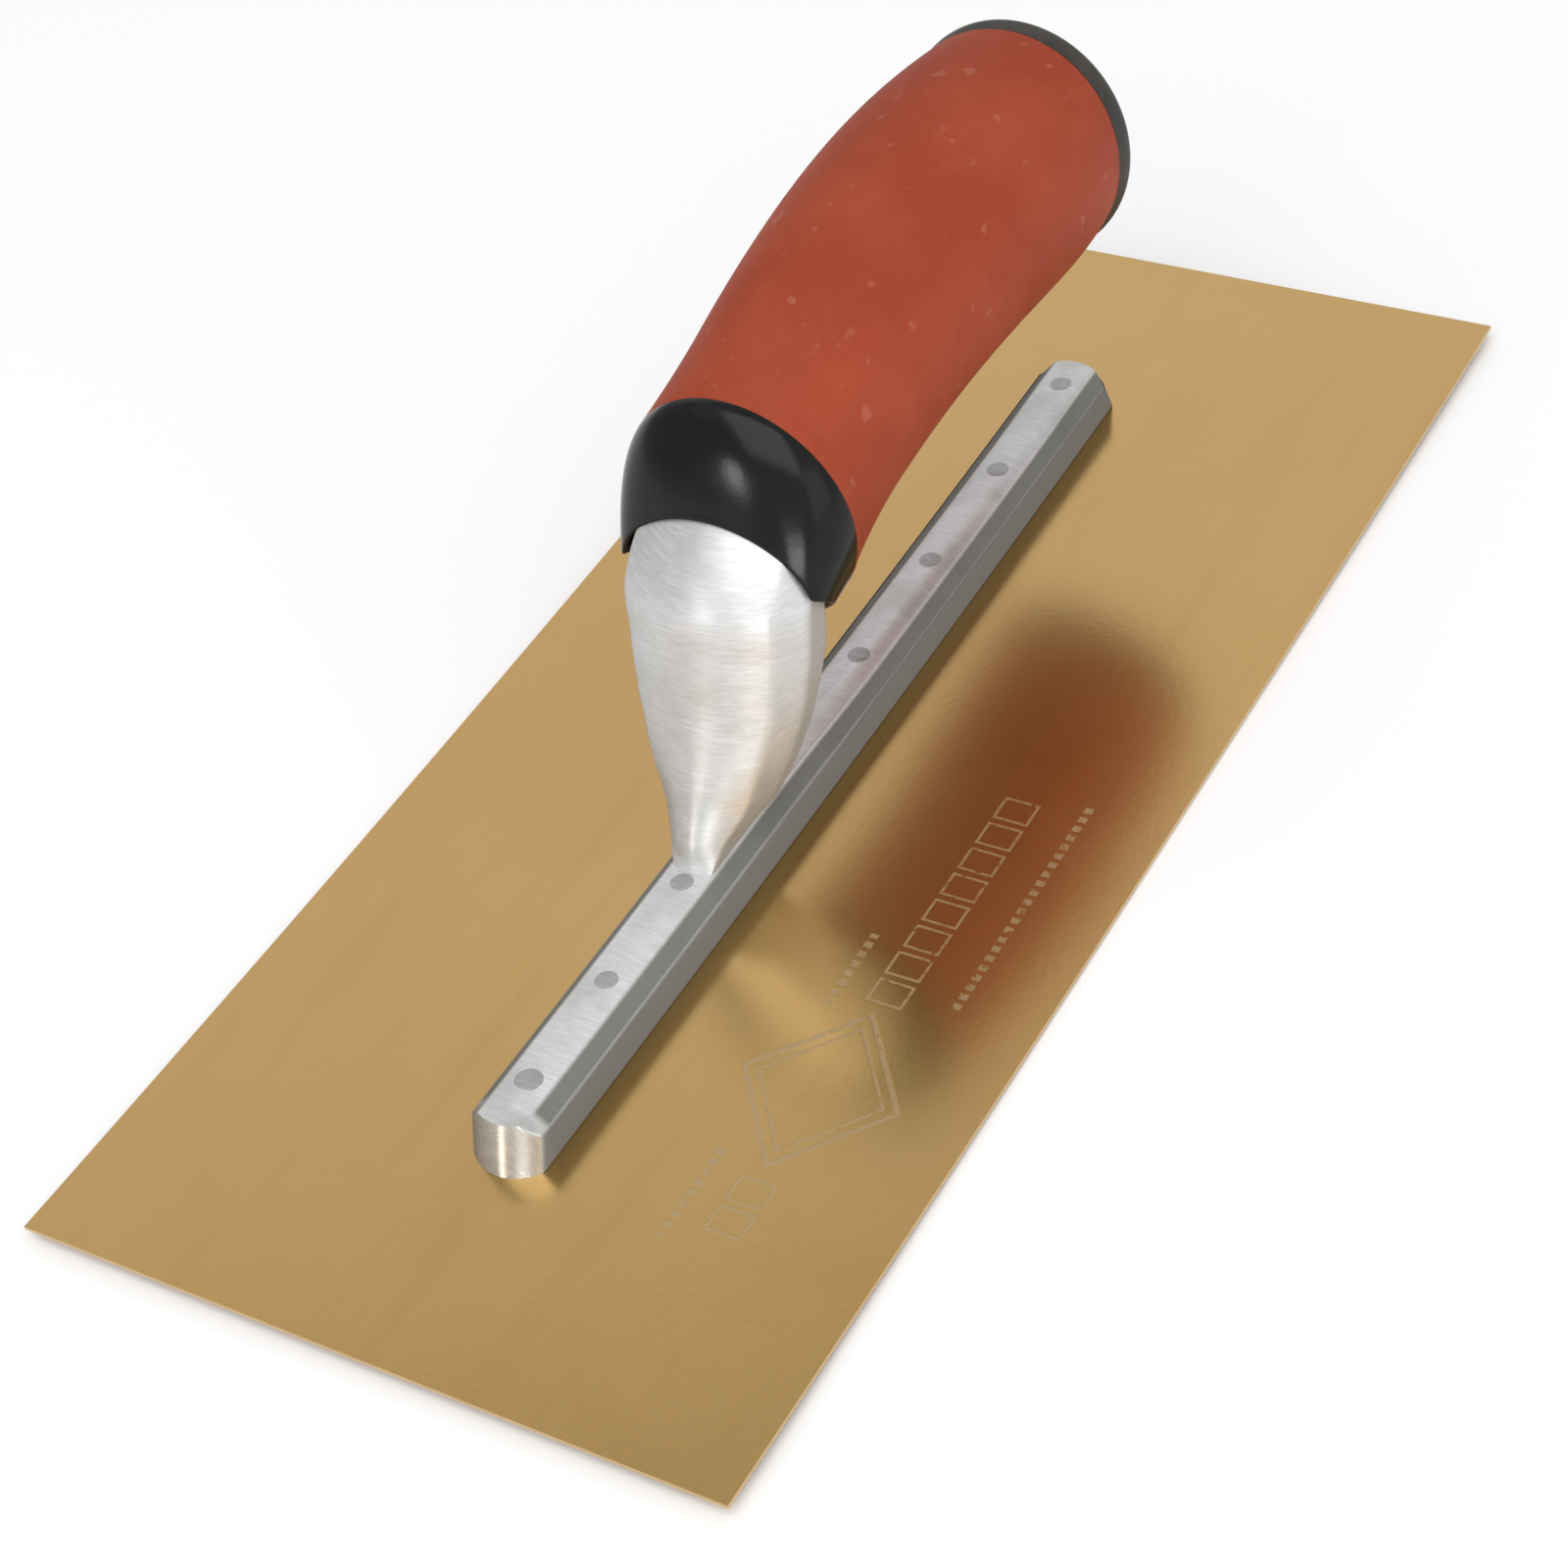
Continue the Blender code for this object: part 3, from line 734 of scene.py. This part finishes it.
# %% Collar surface
COLLAR_LENGTH = 10.4 * MM
COLLAR_FRONT_HALF = 17.9 * MM
COLLAR_FRONT_TOP = 64.5 * MM
COLLAR_FRONT_DROP = 2.5 * MM
COLLAR_CORNER = 53.0 * MM
COLLAR_EDGE_RUN = 9.0 * MM
COLLAR_EDGE_DROP = 14.5 * MM
COLLAR_MIDDLE = 50.0 * MM


def hood(s, angle):
    """Point of the hood at share s of its length and at an angle round it.

    Half width and top go from the grip's to the front's own as 1 - s^power falls from 1 to 0.
    """
    start = HANDLE_AXIS[0]
    radius = radius_at(0.0)
    half = COLLAR_FRONT_HALF + (radius - COLLAR_FRONT_HALF) * (1 - s ** 1.8)
    top = COLLAR_FRONT_TOP + (start[2] + radius - COLLAR_FRONT_TOP) * (1 - s ** 1.9)
    low = start[2] - radius - COLLAR_FRONT_DROP * s
    x = start[0] + COLLAR_LENGTH * s
    y = half * np.cos(angle)
    z = (top + low) / 2 + (top - low) / 2 * np.sin(angle)
    return np.stack(np.broadcast_arrays(x, y, z), axis=-1)


def collar_grid(columns=144, rows=40):
    """Inner bore, shoulder under the grip, hood out to its edge, and back inside along the shank."""
    angle = np.linspace(0, 2 * np.pi, columns, endpoint=False)
    trial = np.linspace(0, 1, 400)[:, None]
    points = hood(trial, angle)
    fall = np.clip((COLLAR_CORNER - points[..., 2]) / COLLAR_EDGE_DROP, 0, 1)
    limit = HANDLE_AXIS[0, 0] + COLLAR_LENGTH - COLLAR_EDGE_RUN * (1 - (1 - fall) ** 2.2)
    cut = points[..., 0] > limit + 1e-7
    reach = np.where(cut.any(0), trial[cut.argmax(0), 0], 1.0)
    outer = hood(np.linspace(0, 1, rows)[:, None] * reach, angle)
    edge = outer[-1]
    centre = np.array([edge[:, 0].max(), 0, COLLAR_MIDDLE])
    inward = (centre - edge) * (0, 1, 1)
    inward /= np.linalg.norm(inward, axis=1)[:, None]
    lip = np.stack([edge + inward * 0.25 * MM + (0.12 * MM, 0, 0), edge + inward * 0.7 * MM])
    deep = rings(np.array([0.0, 0.15]), np.array([15.0, 12.8]) * MM)
    tube = rings(np.array([0.15, 0.0]), np.full(2, radius_at(0.0) - GRIP_WALL - 0.1 * MM))
    return np.concatenate([tube, outer, lip, deep])


collar = skin("core_collar", collar_grid(), loop=True, crease=50)

# %% [markdown]
# ## Black plastic
# Moulded nylon is nearly black, and its shine does all the talking. Low roughness makes the shine,
# and a slight wear pattern in the roughness and a very fine pebble keep it from looking wet.

# %% Black plastic
BLACK = (0.004, 0.006, 0.005, 1)
WORN_BLACK = (0.008, 0.009, 0.008, 1)


def glossy_black():
    finish = Finish("black_plastic", Metallic=0.0, Specular_IOR_Level=0.25)
    pebble = finish.noise(1500, 2, 0.5)
    wear = finish.noise(120, 3, 0.6)
    base = finish.mix(wear.smooth(0.4, 0.75), BLACK, WORN_BLACK)
    rough = 0.15 + wear * 0.08
    return finish.wire(Base_Color=base, Roughness=rough, Normal=finish.bump(pebble, 0.12, 0.0001))


place(collar, glossy_black(), "core", "handle_core")
print("collar finished")

# %% [markdown]
# ## The butt cap
# A thin domed cap closes the handle. Only its rounded rim shows from the front.

# %% Cap surface
CAP_GAP = 0.05 * MM
CAP_WALL = 2.6 * MM
CAP_TURN = 3.6 * MM
CAP_REACH = 7.4 * MM
CAP_BULGE = 0.5 * MM
CAP_CORNER = 6.0 * MM
CAP_PLUG = 15.0 * MM


def cap_grid():
    """Rings behind the butt: the wall swells by a sine and turns over a quarter of an ellipse, and
    the dome's reach grows as 1 - (1 - share)^2 while its radius shrinks to nothing.
    """
    edge = radius_at(1.0) - 0.15 * MM
    wall = np.linspace(0, 1, 8)
    turn = np.radians(np.linspace(0, 90, 18))
    share = np.linspace(0, 1, 14)[1:]
    turn_start = CAP_GAP + CAP_WALL
    dome_start = turn_start + CAP_TURN
    dome_radius = edge + CAP_BULGE - CAP_CORNER
    reach = np.concatenate([[CAP_GAP], CAP_GAP + CAP_WALL * wall, turn_start + CAP_TURN * np.sin(turn),
                            dome_start + (CAP_REACH - dome_start) * (1 - (1 - share) ** 2)])
    radius = np.concatenate([[CAP_PLUG], edge + CAP_BULGE * np.sin(wall * np.pi / 2),
                             dome_radius + CAP_CORNER * np.cos(turn), dome_radius * (1 - share)])
    return rings(np.ones(len(reach)), radius, reach)


cap = skin("butt_cap_dome", capped(cap_grid()), crease=40)

# %% [markdown]
# ## Satin plastic
# The cap is the same kind of plastic as the collar with a duller, browner skin, so it needs the
# same few nodes with higher roughness.

# %% Satin plastic
DARK_BROWN = (0.022, 0.019, 0.016, 1)
WORN_BROWN = (0.038, 0.033, 0.027, 1)


def satin_cap():
    finish = Finish("satin_cap", Metallic=0.0)
    pebble = finish.noise(1200, 2, 0.5)
    wear = finish.noise(150, 3, 0.6)
    base = finish.mix(wear.smooth(0.35, 0.7), DARK_BROWN, WORN_BROWN)
    rough = 0.42 + wear * 0.1
    return finish.wire(Base_Color=base, Roughness=rough, Normal=finish.bump(pebble, 0.15, 0.0001))


place(cap, satin_cap(), "cap", "butt_cap")
print("cap finished")

# %% [markdown]
# ## What the handle hides
# A long bolt runs from the butt into the spigot, with a washer under its head. They keep their CAD
# shapes, with plated steel on them.

# %% Bolt and washer
def plated_steel():
    finish = Finish("plated_steel", Metallic=1.0)
    cloud = finish.noise(400, 3, 0.6)
    base = finish.mix(cloud.smooth(0.35, 0.7), grey(0.42), grey(0.55))
    return finish.wire(Base_Color=base, Roughness=0.28 + cloud * 0.12)


hardware_finish = plated_steel()
for name in ("tie_bolt", "washer"):
    node = frame["nodes"][name]
    node.data.materials.clear()
    node.data.materials.append(hardware_finish)
    print(name, "is plated")

# %% [markdown]
# ## The floor
# A wide pale floor carries the tool. It lies a hair below the blade, so the two never fight for the
# same height, and its faint clouds keep it from looking like a blank sheet.

# %% Floor
FLOOR_REACH = 4.0
FLOOR_DROP = 0.2 * MM


def floor_finish():
    finish = Finish("pale_floor", Metallic=0.0, Roughness=0.9)
    return finish.wire(Base_Color=finish.mix(finish.noise(3, 2, 0.5), grey(0.93), grey(0.95)))


reach = FLOOR_REACH
corners = [(-reach, -reach), (reach, -reach), (reach, reach), (-reach, reach)]
floor_mesh = bpy.data.meshes.new("floor")
floor_mesh.from_pydata([(x, y, -FLOOR_DROP) for x, y in corners], [], [(0, 1, 2, 3)])
floor = bpy.data.objects.new("floor", floor_mesh)
bpy.context.scene.collection.objects.link(floor)
floor.data.materials.append(floor_finish())
print("floor:", 2 * FLOOR_REACH, "m wide")

# %% [markdown]
# ## Light
# A broad soft key hangs high in front, where the blade doesn't mirror it. What the blade does mirror
# is one even card behind it, and the handle stands before that card, which puts the handle's dark
# image on the blade. Small low cards in front draw the bright lines on the shank and the collar. The
# white surroundings are a little stronger towards +Y.

# %% Lights
LIGHTS = {
    # name: place, point that it faces, width and height in metres, watts
    "key": ((1.0, 0.45, 2.1), (0, 0, 0.02), (2.6, 2.6), 38),
    "left_fill": ((0.5, -1.3, 2.2), (0, 0, 0.02), (1.8, 1.8), 2.5),
    "back_card": ((-1.75, -1.4, 1.5), (0, 0, 0.02), (2.6, 1.6), 5.4),
    "front_card": ((1.12, 0.45, 0.07), (0, 0, 0.05), (0.45, 0.14), 1.9),
    "front_strip": ((1.05, -0.31, 0.30), (0, 0, 0.06), (0.15, 0.18), 1.0),
    "right_card": ((0.35, 1.5, 0.5), (0, 0, 0.04), (1.2, 0.8), 2.2),
}
WORLD_STRENGTH = 0.55
WORLD_LIFT = 0.20


def soft_light(name, at, towards, size, watts):
    """Rectangular area light at a place, turned to face a point."""
    lamp = bpy.data.lights.new(name, "AREA")
    lamp.shape = "RECTANGLE"
    lamp.size, lamp.size_y = size
    lamp.energy = watts
    light = bpy.data.objects.new(name, lamp)
    bpy.context.scene.collection.objects.link(light)
    light.location = at
    light.rotation_euler = (Vector(towards) - Vector(at)).to_track_quat("-Z", "Y").to_euler()
    light.visible_camera = False


def studio_world():
    """White surroundings with strength WORLD_STRENGTH + WORLD_LIFT * y in the direction (x, y, z)."""
    world = bpy.data.worlds.new("studio")
    world.use_nodes = True
    nodes, links = world.node_tree.nodes, world.node_tree.links
    background = nodes["Background"]
    background.inputs["Color"].default_value = grey(1.0)
    direction = nodes.new("ShaderNodeTexCoord")
    split = nodes.new("ShaderNodeSeparateXYZ")
    strength = nodes.new("ShaderNodeMath")
    strength.operation = "MULTIPLY_ADD"
    strength.inputs[1].default_value = WORLD_LIFT
    strength.inputs[2].default_value = WORLD_STRENGTH
    links.new(direction.outputs["Generated"], split.inputs["Vector"])
    links.new(split.outputs["Y"], strength.inputs[0])
    links.new(strength.outputs["Value"], background.inputs["Strength"])
    return world


for name, light in LIGHTS.items():
    soft_light(name, *light)
bpy.context.scene.world = studio_world()
bpy.context.scene.view_settings.view_transform = "Standard"
print("lights:", ", ".join(LIGHTS))

# %% [markdown]
# ## Camera
# The camera looks down past the toe from the +Y side with a long lens, and a small roll about its
# own line of sight levels the view.

# %% Camera
CAMERA_AT = Vector((0.3407, 0.2596, 0.3880))
CAMERA_AIM = Vector((0.01026, -0.00229, 0.0))
CAMERA_ROLL = math.radians(-12.515)
camera_data = bpy.data.cameras.new("camera")
camera_data.sensor_width = 36
camera_data.lens = 78.6
camera = bpy.data.objects.new("camera", camera_data)
bpy.context.scene.collection.objects.link(camera)
camera.location = CAMERA_AT
aim = (CAMERA_AIM - CAMERA_AT).to_track_quat("-Z", "Y")
camera.rotation_mode = "QUATERNION"
camera.rotation_quaternion = aim @ Quaternion((0, 0, 1), CAMERA_ROLL)
bpy.context.scene.camera = camera
print(f"camera: {camera_data.lens} mm lens, {(CAMERA_AT - CAMERA_AIM).length:.3f} m away")
